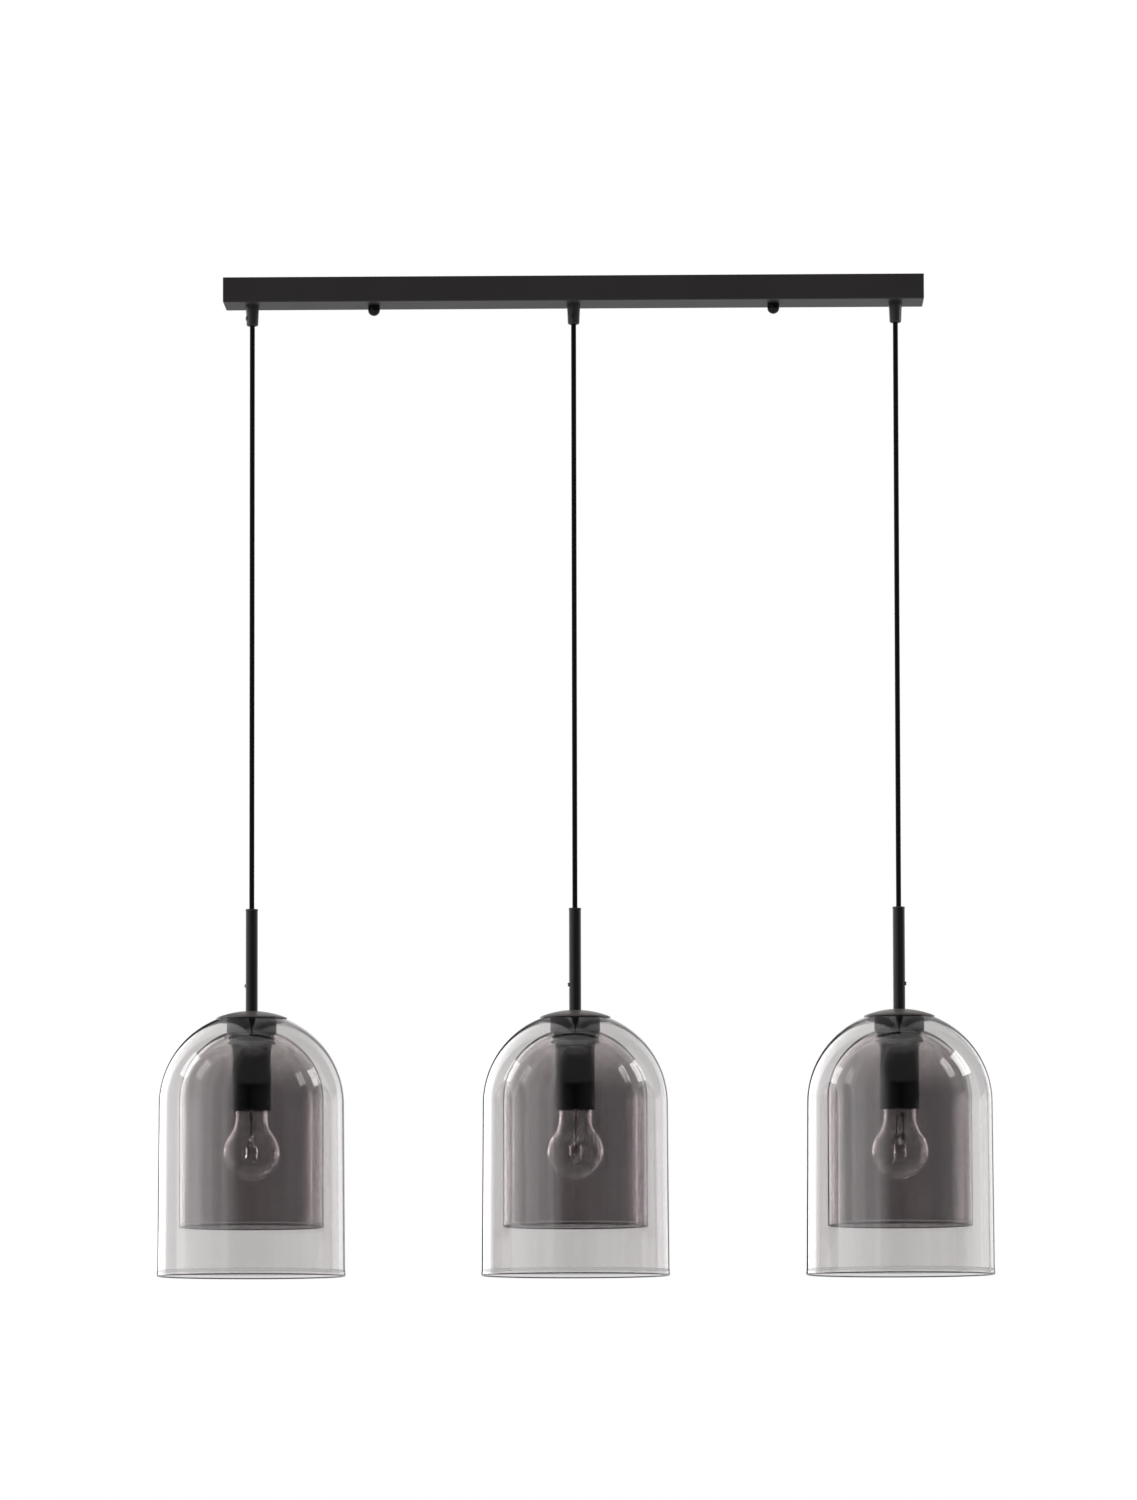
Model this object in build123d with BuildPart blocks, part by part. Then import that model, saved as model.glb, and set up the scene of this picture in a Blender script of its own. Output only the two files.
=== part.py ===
from build123d import *
from math import acos, cos, degrees, radians, sin, sqrt, tan
import os

# A ceiling bar light: a shallow steel canopy bar that carries three pendants on cords. Each pendant is a
# stack clamped on one hollow nipple: stem, dome cap, outer glass, spacer, inner glass, plate, lamp holder.
# Millimetres. The origin is the middle of the ceiling face, X runs along the bar, Y to the back, Z up.

# canopy cover
canopy_length = 700.0
canopy_depth = 50.0
canopy_height = 25.0
canopy_sheet = 1.2
canopy_edge_radius = 1.2
pendant_end_margin = 28.0    # from the cover's end to the axis of the end pendants

# ceiling bracket, studs and cap nuts
bracket_width = 30.0
bracket_sheet = 1.5
bracket_flange = 6.0
bracket_bend_radius = 2.0
bracket_end_margin = 15.0    # from a stud to the bracket's end
slot_spacing = 300.0
slot_length = 20.0
slot_width = 5.0
supply_hole_x = 60.0
supply_hole_diameter = 14.0
stud_spacing = 400.0
stud_diameter = 5.0
stud_shoulder_diameter = 9.0
stud_shoulder_height = 1.5
stud_engagement = 6.5        # length of stud inside the cap nut
stud_chamfer = 0.5
cap_nut_diameter = 12.0
cap_nut_straight = 5.5
cap_nut_dome = 5.0
cap_nut_crown = 1.5          # metal left between the stud hole and the top of the dome

# cord grips, their nuts and screws
cord_diameter = 5.0
grip_thread_diameter = 10.0
grip_thread_length = 6.5
grip_collar_diameter = 13.5
grip_collar_height = 3.3
grip_top_diameter = 13.0
grip_mouth_diameter = 11.7
grip_length = 20.0           # from the cover's underside to the mouth
grip_chamfer = 1.0
grip_nut_across_flats = 14.0
grip_nut_height = 4.0
grip_screw_diameter = 4.6
grip_screw_drop = 12.5       # from the cover's underside to the screw's axis
grip_screw_reach = 6.5       # from the cord's axis to the screw's outer end
grip_recess_length = 2.8
grip_recess_width = 0.8
grip_recess_depth = 0.9
grip_screw_angles = (200.0, 270.0, 90.0)

# terminal box and the leads in the canopy
box_length = 50.0
box_width = 22.0
box_height = 15.5
box_edge_radius = 1.5
box_centre_x = -85.0
box_lid_line = 0.5
box_lid_height = 4.0
box_entry_depth = 6.0
box_entry_drop = 7.5         # from the box's top to the axis of its entries
box_entry_spread = 5.5       # from the box's middle to each of the two entries on the right
lead_rise = 6.5              # from the top of a grip's thread to where its lead turns over
lead_headroom = 2.0          # from the ceiling to the top of a lead

# cord below the grip
cord_free_length = 586.5     # from the grip's mouth to the top of the stem bush
flex_length = 8.0            # from the pivot at the grip to the pivot at the cord's top
cord_tail = 42.0             # from the stem's foot down to the end inside the socket insert

# stem, bush, set screw and nipple
stem_diameter = 12.0
stem_wall = 1.0
stem_length = 100.4
bush_flange_diameter = 12.6
bush_flange_height = 1.5
bush_plug_length = 9.0
bush_lip_chamfer = 0.5
stem_screw_rise = 25.5       # from the stem's foot to the screw's axis
stem_screw_diameter = 3.6
stem_screw_standout = 1.3
stem_screw_slot_width = 0.7
stem_screw_slot_depth = 0.6
stem_screw_angles = (155.0, 180.0, 0.0)
nipple_wall = 1.4
nipple_rise = 36.0           # from the stem's foot to the nipple's top
nipple_engagement = 7.0      # length of nipple inside the socket insert

# dome cap and glasses
cap_diameter = 70.0
cap_sheet = 1.2
cap_seat_diameter = 13.0
outer_radius = 92.0
outer_rim_radius = 93.2
outer_straight = 171.0       # from the hemisphere's centre to the rim
outer_wall = 2.5
outer_bead = 0.9             # how far the thickened band at the rim stands out
outer_bead_height = 9.0
outer_lip_spread = 0.45      # how far the rounded lip below the band stands out
inner_radius = 71.6
inner_straight = 127.0
inner_wall = 2.5
glass_hole_diameter = 12.6

# spacer, seal and clamp plate
spacer_diameter = 49.5
spacer_height = 13.4         # on the axis, between the two crowns
seal_diameter = 44.0
seal_thickness = 1.2
plate_diameter = 49.6
plate_edge = 6.5
plate_chamfer = 0.8

# lamp holder sleeve, socket insert and screw shell
sleeve_diameter = 39.2
sleeve_wall = 1.2
sleeve_top = 1.6
sleeve_length = 67.0
sleeve_collar_diameter = 40.9
sleeve_collar_height = 4.2
insert_head = 9.0
insert_chamber = 14.0
insert_web = 9.0
insert_chamber_wall = 4.0
insert_window_width = 12.0
socket_recess = 8.5          # from the sleeve's mouth up to the insert's foot
shell_wall = 0.4
shell_length = 17.0
shell_lip = 1.6
contact_diameter = 8.0
contact_thickness = 0.8
contact_post_diameter = 3.5

# bulb
bulb_cap_diameter = 26.2
bulb_cap_wall = 0.4
bulb_cap_skirt = 20.5
bulb_cap_cone = 4.0
bulb_cap_cone_diameter = 16.0
bulb_contact_diameter = 9.5
bulb_contact_height = 1.6
bulb_tip_depth = 31.0        # from the sleeve's mouth up to the bulb's contact
bulb_radius = 27.75
bulb_length = 100.75
bulb_neck_radius = 15.8
bulb_neck_length = 14.0      # from the cap's skirt to where the neck starts to swell
bulb_collar_length = 5.5     # where the glass widens from the cap to the neck
bulb_glass_wall = 0.9
bulb_root_length = 6.0       # glass inside the cap's skirt
mount_flange = 1.5
mount_flare_length = 8.0
mount_radius = 3.5
mount_length = 14.5          # from the top of the glass to the flattened press
press_width = 11.0
press_thickness = 3.0
press_height = 5.0
press_root = 1.75            # how far the press reaches up into the mount
lead_wire_diameter = 0.8
lead_wire_spacing = 7.0
lead_wire_length = 15.0
lead_wire_embedding = 1.0
pinch_width = 13.0
pinch_thickness = 2.6
pinch_height = 12.5
capsule_radius = 6.0
capsule_shoulder = 1.5
capsule_straight = 10.5
capsule_tip_diameter = 2.6
capsule_tip_standout = 2.2
bulb_turns = (80.0, 95.0, 8.0)   # how far each bulb is screwed round

# clearances
fit_gap = 0.1                # between fixed pieces that slide together
glass_gap = 0.2              # between a glass and what bears on it
running_gap = 0.3            # between pieces that move

# levels and places that follow
pendant_x = canopy_length / 2 - pendant_end_margin
pendants = ((1, -pendant_x), (2, 0.0), (3, pendant_x))
cover_floor = -canopy_height
tray_floor = cover_floor + canopy_sheet
grip_mouth = cover_floor - grip_length
thread_top = tray_floor + grip_thread_length
cord_radius = cord_diameter / 2
flex_pivot = grip_mouth - running_gap - cord_radius
cord_pivot = flex_pivot - flex_length
bush_top = grip_mouth - cord_free_length
stem_head = bush_top - bush_flange_height
stem_foot = stem_head - stem_length
stem_bore = stem_diameter - 2 * stem_wall
nipple_diameter = stem_bore - fit_gap
cap_inner_radius = outer_radius + glass_gap
cap_outer_radius = cap_inner_radius + cap_sheet
outer_centre = stem_foot - sqrt(cap_outer_radius**2 - (cap_seat_diameter / 2) ** 2)
outer_rim = outer_centre - outer_straight
inner_centre = outer_centre + outer_radius - outer_wall - spacer_height - inner_radius
inner_rim = inner_centre - inner_straight
seal_top_radius = inner_radius - inner_wall - glass_gap
plate_top_radius = seal_top_radius - seal_thickness - fit_gap
plate_foot = inner_centre + sqrt(plate_top_radius**2 - (plate_diameter / 2) ** 2) - plate_edge
sleeve_mouth = plate_foot - sleeve_length
sleeve_bore = sleeve_diameter - 2 * sleeve_wall
insert_top = plate_foot - sleeve_top
insert_diameter = sleeve_bore - 2 * fit_gap
insert_foot = sleeve_mouth + socket_recess
socket_roof = insert_top - insert_head - insert_chamber - insert_web
shell_bore = bulb_cap_diameter + 2 * running_gap
shell_diameter = shell_bore + 2 * shell_wall
bulb_tip = sleeve_mouth + bulb_tip_depth
bulb_foot = bulb_tip - bulb_length
bulb_centre = bulb_foot + bulb_radius
bulb_skirt_foot = bulb_tip - bulb_contact_height - bulb_cap_cone - bulb_cap_skirt
bulb_root_radius = bulb_cap_diameter / 2 - bulb_cap_wall - fit_gap
box_top = tray_floor + box_height
box_entry = box_top - box_entry_drop


def keep(piece, name):
    piece.part.label = name
    export_step(piece.part, f"parts/{name}.step")


def level(x, z):
    """A horizontal plane on a pendant's axis."""
    return Plane(origin=(x, 0, z))


def section(x):
    """The upright plane through an axis, where X is the radius and Y the height."""
    return Plane(origin=(x, 0, 0), x_dir=(1, 0, 0), z_dir=(0, -1, 0))


def upright(x):
    return Axis((x, 0, 0), (0, 0, 1))


def side_plane(x, z, angle, reach):
    """A plane that looks outwards from an axis, at an angle round it and a reach from it."""
    out = Vector(cos(radians(angle)), sin(radians(angle)), 0)
    return Plane(origin=Vector(x, 0, z) + out * reach, x_dir=(0, 0, 1), z_dir=out)


def turned_level(x, z, turn):
    """A horizontal plane on a pendant's axis, turned round it with the bulb."""
    return Plane(origin=(x, 0, z), x_dir=(cos(radians(turn)), sin(radians(turn)), 0), z_dir=(0, 0, 1))


def bend_radii(points):
    """The largest bend that each corner of a cord's route has room for."""
    radii = []
    for before, corner, after in zip(points, points[1:], points[2:]):
        run_in = Vector(*corner) - Vector(*before)
        run_out = Vector(*after) - Vector(*corner)
        half_turn = radians(run_in.get_angle(run_out)) / 2
        radii.append(0.45 * min(run_in.length, run_out.length) / tan(half_turn))
    return radii


def canopy_cover():
    with BuildPart() as cover:
        with BuildSketch(Plane.XY):
            RectangleRounded(canopy_length, canopy_depth, canopy_edge_radius)
        extrude(amount=-canopy_height)
        fillet(cover.faces().sort_by(Axis.Z)[0].edges(), canopy_edge_radius)
        with BuildSketch(Plane.XY):
            Rectangle(canopy_length - 2 * canopy_sheet, canopy_depth - 2 * canopy_sheet)
        extrude(amount=tray_floor, mode=Mode.SUBTRACT)
        with BuildSketch(Plane.XY.offset(tray_floor)):
            with Locations(*[(x, 0) for _, x in pendants]):
                Circle(grip_thread_diameter / 2 + fit_gap)
            with GridLocations(stud_spacing, 0, 2, 1):
                Circle(stud_diameter / 2 + running_gap)
        extrude(amount=-canopy_sheet, mode=Mode.SUBTRACT)
    keep(cover, "canopy_cover")


def ceiling_bracket():
    length = stud_spacing + 2 * bracket_end_margin
    with BuildPart() as bracket:
        with BuildSketch(Plane.YZ.offset(-length / 2)):
            Rectangle(bracket_width, bracket_flange, align=(Align.CENTER, Align.MAX))
            with Locations((0, -bracket_sheet)):
                Rectangle(bracket_width - 2 * bracket_sheet, bracket_flange - bracket_sheet,
                          align=(Align.CENTER, Align.MAX), mode=Mode.SUBTRACT)
        extrude(amount=length)
        fillet(bracket.edges().filter_by(Axis.X).group_by(Axis.Z)[-1], bracket_bend_radius)
        with BuildSketch(Plane.XY):
            with GridLocations(slot_spacing, 0, 2, 1):
                SlotOverall(slot_length, slot_width)
            with GridLocations(stud_spacing, 0, 2, 1):
                Circle(stud_diameter / 2 + fit_gap)
            with Locations((supply_hole_x, 0)):
                Circle(supply_hole_diameter / 2)
        extrude(amount=-bracket_sheet, mode=Mode.SUBTRACT)
    keep(bracket, "ceiling_bracket")


def bracket_studs():
    with BuildPart() as studs:
        with BuildSketch(Plane.XY):
            with GridLocations(stud_spacing, 0, 2, 1):
                Circle(stud_diameter / 2)
        extrude(amount=cover_floor - stud_engagement)
        with BuildSketch(Plane.XY.offset(-bracket_sheet)):
            with GridLocations(stud_spacing, 0, 2, 1):
                Circle(stud_shoulder_diameter / 2)
        extrude(amount=-stud_shoulder_height)
        chamfer(studs.edges().filter_by(GeomType.CIRCLE).group_by(Axis.Z)[0], stud_chamfer)
    keep(studs, "bracket_studs")


def cap_nuts():
    half = cap_nut_diameter / 2
    dome_base = cover_floor - cap_nut_straight
    dome_foot = dome_base - cap_nut_dome
    dome_radius = (half**2 + cap_nut_dome**2) / (2 * cap_nut_dome)
    dome_angle = acos((dome_radius - cap_nut_dome) / dome_radius)
    with BuildPart() as nuts:
        for x in (-stud_spacing / 2, stud_spacing / 2):
            with BuildSketch(section(x)):
                with BuildLine():
                    Line((0, cover_floor), (half, cover_floor))
                    Line((half, cover_floor), (half, dome_base))
                    middle = (dome_radius * sin(dome_angle / 2),
                              dome_foot + dome_radius * (1 - cos(dome_angle / 2)))
                    ThreePointArc((half, dome_base), middle, (0, dome_foot))
                    Line((0, dome_foot), (0, cover_floor))
                make_face()
            revolve(axis=upright(x))
        with BuildSketch(Plane.XY.offset(cover_floor)):
            with GridLocations(stud_spacing, 0, 2, 1):
                Circle(stud_diameter / 2 + fit_gap)
        extrude(amount=cap_nut_crown - cap_nut_straight - cap_nut_dome, mode=Mode.SUBTRACT)
    keep(nuts, "cap_nuts")


def cord_grips():
    collar_foot = cover_floor - grip_collar_height
    with BuildPart() as grips:
        for (_, x), angle in zip(pendants, grip_screw_angles):
            with BuildSketch(section(x)):
                with BuildLine():
                    Polyline(
                        (0, thread_top),
                        (grip_thread_diameter / 2, thread_top),
                        (grip_thread_diameter / 2, cover_floor),
                        (grip_collar_diameter / 2, cover_floor),
                        (grip_collar_diameter / 2, collar_foot),
                        (grip_top_diameter / 2, collar_foot),
                        (grip_mouth_diameter / 2, grip_mouth + grip_chamfer),
                        (grip_mouth_diameter / 2 - grip_chamfer, grip_mouth),
                        (0, grip_mouth),
                        close=True,
                    )
                make_face()
            revolve(axis=upright(x))
            with BuildSketch(side_plane(x, cover_floor - grip_screw_drop, angle, 0)):
                Circle(grip_screw_diameter / 2 + fit_gap)
            extrude(amount=grip_top_diameter, mode=Mode.SUBTRACT)
        with BuildSketch(Plane.XY.offset(grip_mouth)):
            with Locations(*[(x, 0) for _, x in pendants]):
                Circle(cord_radius + fit_gap)
        extrude(amount=thread_top - grip_mouth, mode=Mode.SUBTRACT)
    keep(grips, "cord_grips")


def grip_nuts():
    with BuildPart() as nuts:
        with BuildSketch(Plane.XY.offset(tray_floor)):
            with Locations(*[(x, 0) for _, x in pendants]):
                RegularPolygon(grip_nut_across_flats / 2, 6, major_radius=False)
                Circle(grip_thread_diameter / 2 + fit_gap, mode=Mode.SUBTRACT)
        extrude(amount=grip_nut_height)
    keep(nuts, "grip_nuts")


def grip_screws():
    screw_tip = cord_radius + fit_gap
    with BuildPart() as screws:
        for (_, x), angle in zip(pendants, grip_screw_angles):
            head = side_plane(x, cover_floor - grip_screw_drop, angle, grip_screw_reach)
            with BuildSketch(head):
                Circle(grip_screw_diameter / 2)
            extrude(amount=screw_tip - grip_screw_reach)
            with BuildSketch(head):
                Rectangle(grip_recess_length, grip_recess_width)
                Rectangle(grip_recess_width, grip_recess_length)
            extrude(amount=-grip_recess_depth, mode=Mode.SUBTRACT)
    keep(screws, "grip_screws")


def terminal_box():
    with BuildPart() as box:
        with BuildSketch(Plane.XY.offset(tray_floor)):
            with Locations((box_centre_x, 0)):
                RectangleRounded(box_length, box_width, box_edge_radius)
        extrude(amount=box_height - box_lid_height)
        with BuildSketch(Plane.XY.offset(box_top - box_lid_height)):
            with Locations((box_centre_x, 0)):
                RectangleRounded(box_length - 2 * box_lid_line, box_width - 2 * box_lid_line,
                                 box_edge_radius)
        extrude(amount=box_lid_height)
        chamfer(box.faces().sort_by(Axis.Z)[-1].edges(), box_lid_line)
        with BuildSketch(Plane.YZ.offset(box_centre_x + box_length / 2)):
            with Locations((-box_entry_spread, box_entry), (box_entry_spread, box_entry)):
                Circle(cord_radius + fit_gap)
        extrude(amount=-box_entry_depth, mode=Mode.SUBTRACT)
        with BuildSketch(Plane.YZ.offset(box_centre_x - box_length / 2)):
            with Locations((0, box_entry)):
                Circle(cord_radius + fit_gap)
        extrude(amount=box_entry_depth, mode=Mode.SUBTRACT)
    keep(box, "terminal_box")


def cord_leads():
    right_end = box_centre_x + box_length / 2 - box_entry_depth + fit_gap
    left_end = box_centre_x - box_length / 2 + box_entry_depth - fit_gap
    on_floor = tray_floor + cord_radius + running_gap
    crest = -cord_radius - lead_headroom
    left, middle, right = (x for _, x in pendants)
    left_route = [
        (left, 0, grip_mouth), (left, 0, thread_top + lead_rise), (left + 10, -0.5, crest),
        (left + 45, -4, -14), (left + 100, -12, on_floor), (left + 160, -9, on_floor),
        (left_end - 14, 0, box_entry), (left_end, 0, box_entry),
    ]
    middle_route = [
        (middle, 0, grip_mouth), (middle, 0, thread_top + lead_rise - 1.5), (middle - 9, -1, crest - 2),
        (middle - 30, -3.5, -12), (right_end + 14, -box_entry_spread, box_entry),
        (right_end, -box_entry_spread, box_entry),
    ]
    right_route = [
        (right, 0, grip_mouth), (right, 0, thread_top + lead_rise), (right - 10, 0.5, crest),
        (right - 45, 4, -14), (right - 105, 13, on_floor), (right - 180, 14, on_floor),
        (right - 255, 13, on_floor), (right - 320, 14.5, on_floor),
        (right_end + 14, box_entry_spread, box_entry), (right_end, box_entry_spread, box_entry),
    ]
    with BuildPart() as leads:
        for route in (left_route, middle_route, right_route):
            radii = bend_radii(route)
            print("lead radii", [round(radius, 1) for radius in radii])
            with BuildLine() as path:
                FilletPolyline(*route, radius=radii)
            with BuildSketch(Plane(origin=route[0])):
                Circle(cord_radius)
            sweep(path=path.line)
    keep(leads, "cord_leads")


def cord_flex(number, x):
    with BuildPart() as flex:
        with BuildSketch(section(x)):
            with BuildLine():
                Line((0, flex_pivot + cord_radius), (0, cord_pivot + cord_radius + running_gap))
                Line((0, cord_pivot + cord_radius + running_gap),
                     (cord_radius, cord_pivot + cord_radius + running_gap))
                Line((cord_radius, cord_pivot + cord_radius + running_gap), (cord_radius, flex_pivot))
                CenterArc((0, flex_pivot), cord_radius, 0, 90)
            make_face()
        revolve(axis=upright(x))
    keep(flex, f"cord_flex_{number}")


def cord(number, x):
    tail = stem_foot - cord_tail
    with BuildPart() as line:
        with BuildSketch(section(x)):
            with BuildLine():
                Line((0, cord_pivot + cord_radius), (0, tail))
                Line((0, tail), (cord_radius, tail))
                Line((cord_radius, tail), (cord_radius, cord_pivot))
                CenterArc((0, cord_pivot), cord_radius, 0, 90)
            make_face()
        revolve(axis=upright(x))
    keep(line, f"cord_{number}")


def stem(number, x, angle):
    with BuildPart() as tube:
        with BuildSketch(level(x, stem_foot)):
            Circle(stem_diameter / 2)
            Circle(stem_bore / 2, mode=Mode.SUBTRACT)
        extrude(amount=stem_length)
        with BuildSketch(side_plane(x, stem_foot + stem_screw_rise, angle, 0)):
            Circle(stem_screw_diameter / 2 + fit_gap)
        extrude(amount=stem_diameter, mode=Mode.SUBTRACT)
    keep(tube, f"stem_{number}")


def stem_bush(number, x):
    with BuildPart() as bush:
        with BuildSketch(level(x, stem_head)):
            Circle(bush_flange_diameter / 2)
        extrude(amount=bush_flange_height)
        chamfer(bush.edges().filter_by(GeomType.CIRCLE).group_by(Axis.Z)[-1], bush_lip_chamfer)
        with BuildSketch(level(x, stem_head)):
            Circle(stem_bore / 2 - fit_gap)
        extrude(amount=-bush_plug_length)
        with BuildSketch(level(x, bush_top)):
            Circle(cord_radius + fit_gap)
        extrude(amount=-bush_flange_height - bush_plug_length, mode=Mode.SUBTRACT)
    keep(bush, f"stem_bush_{number}")


def stem_screw(number, x, angle):
    reach = stem_diameter / 2 + stem_screw_standout
    head = side_plane(x, stem_foot + stem_screw_rise, angle, reach)
    with BuildPart() as screw:
        with BuildSketch(head):
            Circle(stem_screw_diameter / 2)
        extrude(amount=nipple_diameter / 2 + fit_gap - reach)
        with BuildSketch(head):
            Rectangle(stem_screw_slot_width, stem_screw_diameter)
        extrude(amount=-stem_screw_slot_depth, mode=Mode.SUBTRACT)
    keep(screw, f"stem_screw_{number}")


def nipple(number, x):
    foot = insert_top - nipple_engagement
    with BuildPart() as tube:
        with BuildSketch(level(x, foot)):
            Circle(nipple_diameter / 2)
            Circle(nipple_diameter / 2 - nipple_wall, mode=Mode.SUBTRACT)
        extrude(amount=stem_foot + nipple_rise - foot)
    keep(tube, f"nipple_{number}")


def on_sphere(radius, centre, reach):
    """The point of a sphere's outline that is this far out from the axis."""
    return reach, centre + sqrt(radius**2 - reach**2)


def sphere_arc(radius, centre, reach_in, reach_out):
    """A sphere's outline between two distances from the axis."""
    first = degrees(acos(reach_out / radius))
    last = degrees(acos(reach_in / radius))
    CenterArc((0, centre), radius, first, last - first)


def dome_cap(number, x):
    hole = nipple_diameter / 2 + fit_gap
    seat = cap_seat_diameter / 2
    rim = cap_diameter / 2
    with BuildPart() as cap:
        with BuildSketch(section(x)):
            with BuildLine():
                sphere_arc(cap_inner_radius, outer_centre, hole, rim)
                Line(on_sphere(cap_inner_radius, outer_centre, rim),
                     on_sphere(cap_outer_radius, outer_centre, rim))
                sphere_arc(cap_outer_radius, outer_centre, seat, rim)
                Polyline((seat, stem_foot), (hole, stem_foot),
                         on_sphere(cap_inner_radius, outer_centre, hole))
            make_face()
        revolve(axis=upright(x))
    keep(cap, f"dome_cap_{number}")


def outer_glass(number, x):
    hole = glass_hole_diameter / 2
    bore = outer_radius - outer_wall
    bore_at_rim = outer_rim_radius - outer_wall
    lip = outer_rim_radius + outer_lip_spread
    lip_top = outer_rim + outer_wall / 2
    bead_top = outer_rim + outer_bead_height
    with BuildPart() as glass:
        with BuildSketch(section(x)):
            with BuildLine():
                sphere_arc(outer_radius, outer_centre, hole, outer_radius)
                Line((outer_radius, outer_centre), (outer_rim_radius, bead_top))
                ThreePointArc((outer_rim_radius, bead_top),
                              (outer_rim_radius + outer_bead, outer_rim + outer_bead_height / 2),
                              (lip, lip_top))
                ThreePointArc((lip, lip_top), ((lip + bore_at_rim) / 2, outer_rim), (bore_at_rim, lip_top))
                Line((bore_at_rim, lip_top), (bore, outer_centre))
                sphere_arc(bore, outer_centre, hole, bore)
                Line(on_sphere(bore, outer_centre, hole), on_sphere(outer_radius, outer_centre, hole))
            make_face()
        revolve(axis=upright(x))
    keep(glass, f"outer_glass_{number}")


def glass_seals(number, x):
    hole = nipple_diameter / 2 + fit_gap
    edge = spacer_diameter / 2
    top_radius = outer_radius - outer_wall - glass_gap
    foot_radius = inner_radius + glass_gap
    seal_hole = glass_hole_diameter / 2
    seal_edge = seal_diameter / 2
    seal_foot_radius = seal_top_radius - seal_thickness
    with BuildPart() as seals:
        with BuildSketch(section(x)):
            with BuildLine():
                sphere_arc(top_radius, outer_centre, hole, edge)
                Line(on_sphere(top_radius, outer_centre, edge), on_sphere(foot_radius, inner_centre, edge))
                sphere_arc(foot_radius, inner_centre, hole, edge)
                Line(on_sphere(foot_radius, inner_centre, hole), on_sphere(top_radius, outer_centre, hole))
            make_face()
        revolve(axis=upright(x))
        with BuildSketch(section(x)):
            with BuildLine():
                sphere_arc(seal_top_radius, inner_centre, seal_hole, seal_edge)
                Line(on_sphere(seal_top_radius, inner_centre, seal_edge),
                     on_sphere(seal_foot_radius, inner_centre, seal_edge))
                sphere_arc(seal_foot_radius, inner_centre, seal_hole, seal_edge)
                Line(on_sphere(seal_foot_radius, inner_centre, seal_hole),
                     on_sphere(seal_top_radius, inner_centre, seal_hole))
            make_face()
        revolve(axis=upright(x))
    keep(seals, f"glass_seals_{number}")


def inner_glass(number, x):
    hole = glass_hole_diameter / 2
    bore = inner_radius - inner_wall
    round_off = inner_wall / 2
    with BuildPart() as glass:
        with BuildSketch(section(x)):
            with BuildLine():
                sphere_arc(inner_radius, inner_centre, hole, inner_radius)
                Line((inner_radius, inner_centre), (inner_radius, inner_rim + round_off))
                ThreePointArc((inner_radius, inner_rim + round_off),
                              (inner_radius - round_off, inner_rim),
                              (bore, inner_rim + round_off))
                Line((bore, inner_rim + round_off), (bore, inner_centre))
                sphere_arc(bore, inner_centre, hole, bore)
                Line(on_sphere(bore, inner_centre, hole), on_sphere(inner_radius, inner_centre, hole))
            make_face()
        revolve(axis=upright(x))
    keep(glass, f"inner_glass_{number}")


def clamp_plate(number, x):
    hole = nipple_diameter / 2 + fit_gap
    edge = plate_diameter / 2
    with BuildPart() as plate:
        with BuildSketch(section(x)):
            with BuildLine():
                sphere_arc(plate_top_radius, inner_centre, hole, edge)
                Polyline(on_sphere(plate_top_radius, inner_centre, edge),
                         (edge, plate_foot + plate_chamfer),
                         (edge - plate_chamfer, plate_foot),
                         (hole, plate_foot),
                         on_sphere(plate_top_radius, inner_centre, hole))
            make_face()
        revolve(axis=upright(x))
    keep(plate, f"clamp_plate_{number}")


def holder_sleeve(number, x):
    hole = nipple_diameter / 2 + fit_gap
    with BuildPart() as sleeve:
        with BuildSketch(section(x)):
            with BuildLine():
                Polyline(
                    (hole, plate_foot),
                    (sleeve_collar_diameter / 2, plate_foot),
                    (sleeve_collar_diameter / 2, plate_foot - sleeve_collar_height),
                    (sleeve_diameter / 2, plate_foot - sleeve_collar_height),
                    (sleeve_diameter / 2, sleeve_mouth),
                    (sleeve_bore / 2, sleeve_mouth),
                    (sleeve_bore / 2, insert_top),
                    (hole, insert_top),
                    close=True,
                )
            make_face()
        revolve(axis=upright(x))
    keep(sleeve, f"holder_sleeve_{number}")


def socket_insert(number, x):
    chamber_roof = insert_top - insert_head
    chamber_floor = chamber_roof - insert_chamber
    with BuildPart() as insert:
        with BuildSketch(level(x, insert_foot)):
            Circle(insert_diameter / 2)
        extrude(amount=insert_top - insert_foot)
        with BuildSketch(level(x, insert_foot)):
            Circle(shell_diameter / 2 + fit_gap)
        extrude(amount=socket_roof - insert_foot, mode=Mode.SUBTRACT)
        with BuildSketch(level(x, chamber_floor)):
            Circle(insert_diameter / 2 - insert_chamber_wall)
        extrude(amount=insert_chamber, mode=Mode.SUBTRACT)
        with BuildSketch(level(x, chamber_floor)):
            Rectangle(insert_window_width, insert_diameter)
        extrude(amount=insert_chamber, mode=Mode.SUBTRACT)
        with BuildSketch(level(x, insert_top)):
            Circle(nipple_diameter / 2 + fit_gap)
        extrude(amount=-insert_head, mode=Mode.SUBTRACT)
        with BuildSketch(level(x, socket_roof)):
            Circle(contact_post_diameter / 2 + fit_gap)
        extrude(amount=insert_web, mode=Mode.SUBTRACT)
    keep(insert, f"socket_insert_{number}")


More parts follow.
